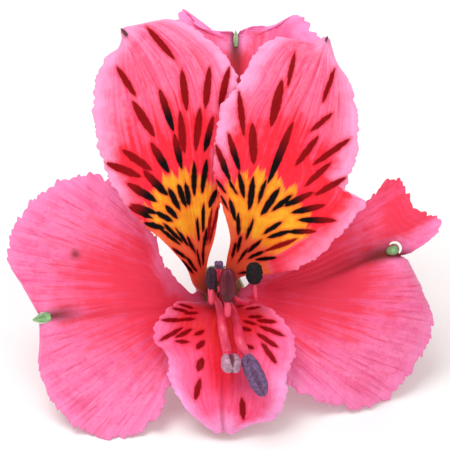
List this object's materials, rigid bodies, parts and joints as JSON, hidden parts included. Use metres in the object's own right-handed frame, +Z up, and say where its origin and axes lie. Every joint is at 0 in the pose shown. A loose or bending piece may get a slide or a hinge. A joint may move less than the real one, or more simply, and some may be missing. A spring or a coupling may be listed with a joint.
{
  "type": "cut alstroemeria bloom",
  "caption": "Peruvian lily bloom with flared pink tepals, dark-streaked throat, stamens and a short cut stalk, lying on its petals and stalk end.",
  "frame": {"origin": "on the floor, under the middle of the bloom's bounding box", "axes": "+X to the right across the bloom's face, +Y away from the side the face looks to, +Z up; the bloom's axis leans 35 degrees up from -Y"},
  "size_m": [0.0674, 0.0436, 0.0566],
  "materials": {
    "inner_tepal": "satin",
    "outer_tepal": "satin",
    "lip_tepal": "satin",
    "filament": "satin",
    "dark_anther": "matte",
    "grey_anther": "matte",
    "maroon_anther": "satin",
    "ovary": "satin",
    "stalk": "satin"
  },
  "bodies": {
    "root": {"stalk": "stalk", "ovary": "ovary", "style": "filament", "upper_outer_tepal": "outer_tepal", "left_outer_tepal": "outer_tepal", "right_outer_tepal": "outer_tepal", "left_inner_tepal": "inner_tepal", "right_inner_tepal": "inner_tepal", "lower_inner_tepal": "lip_tepal", "filament_1": "filament", "filament_2": "filament", "filament_3": "filament", "filament_4": "filament", "filament_5": "filament", "filament_6": "filament", "anther_1": "dark_anther", "anther_2": "grey_anther", "anther_3": "maroon_anther", "anther_4": "dark_anther", "anther_5": "grey_anther", "anther_6": "grey_anther"}
  },
  "joints": []
}
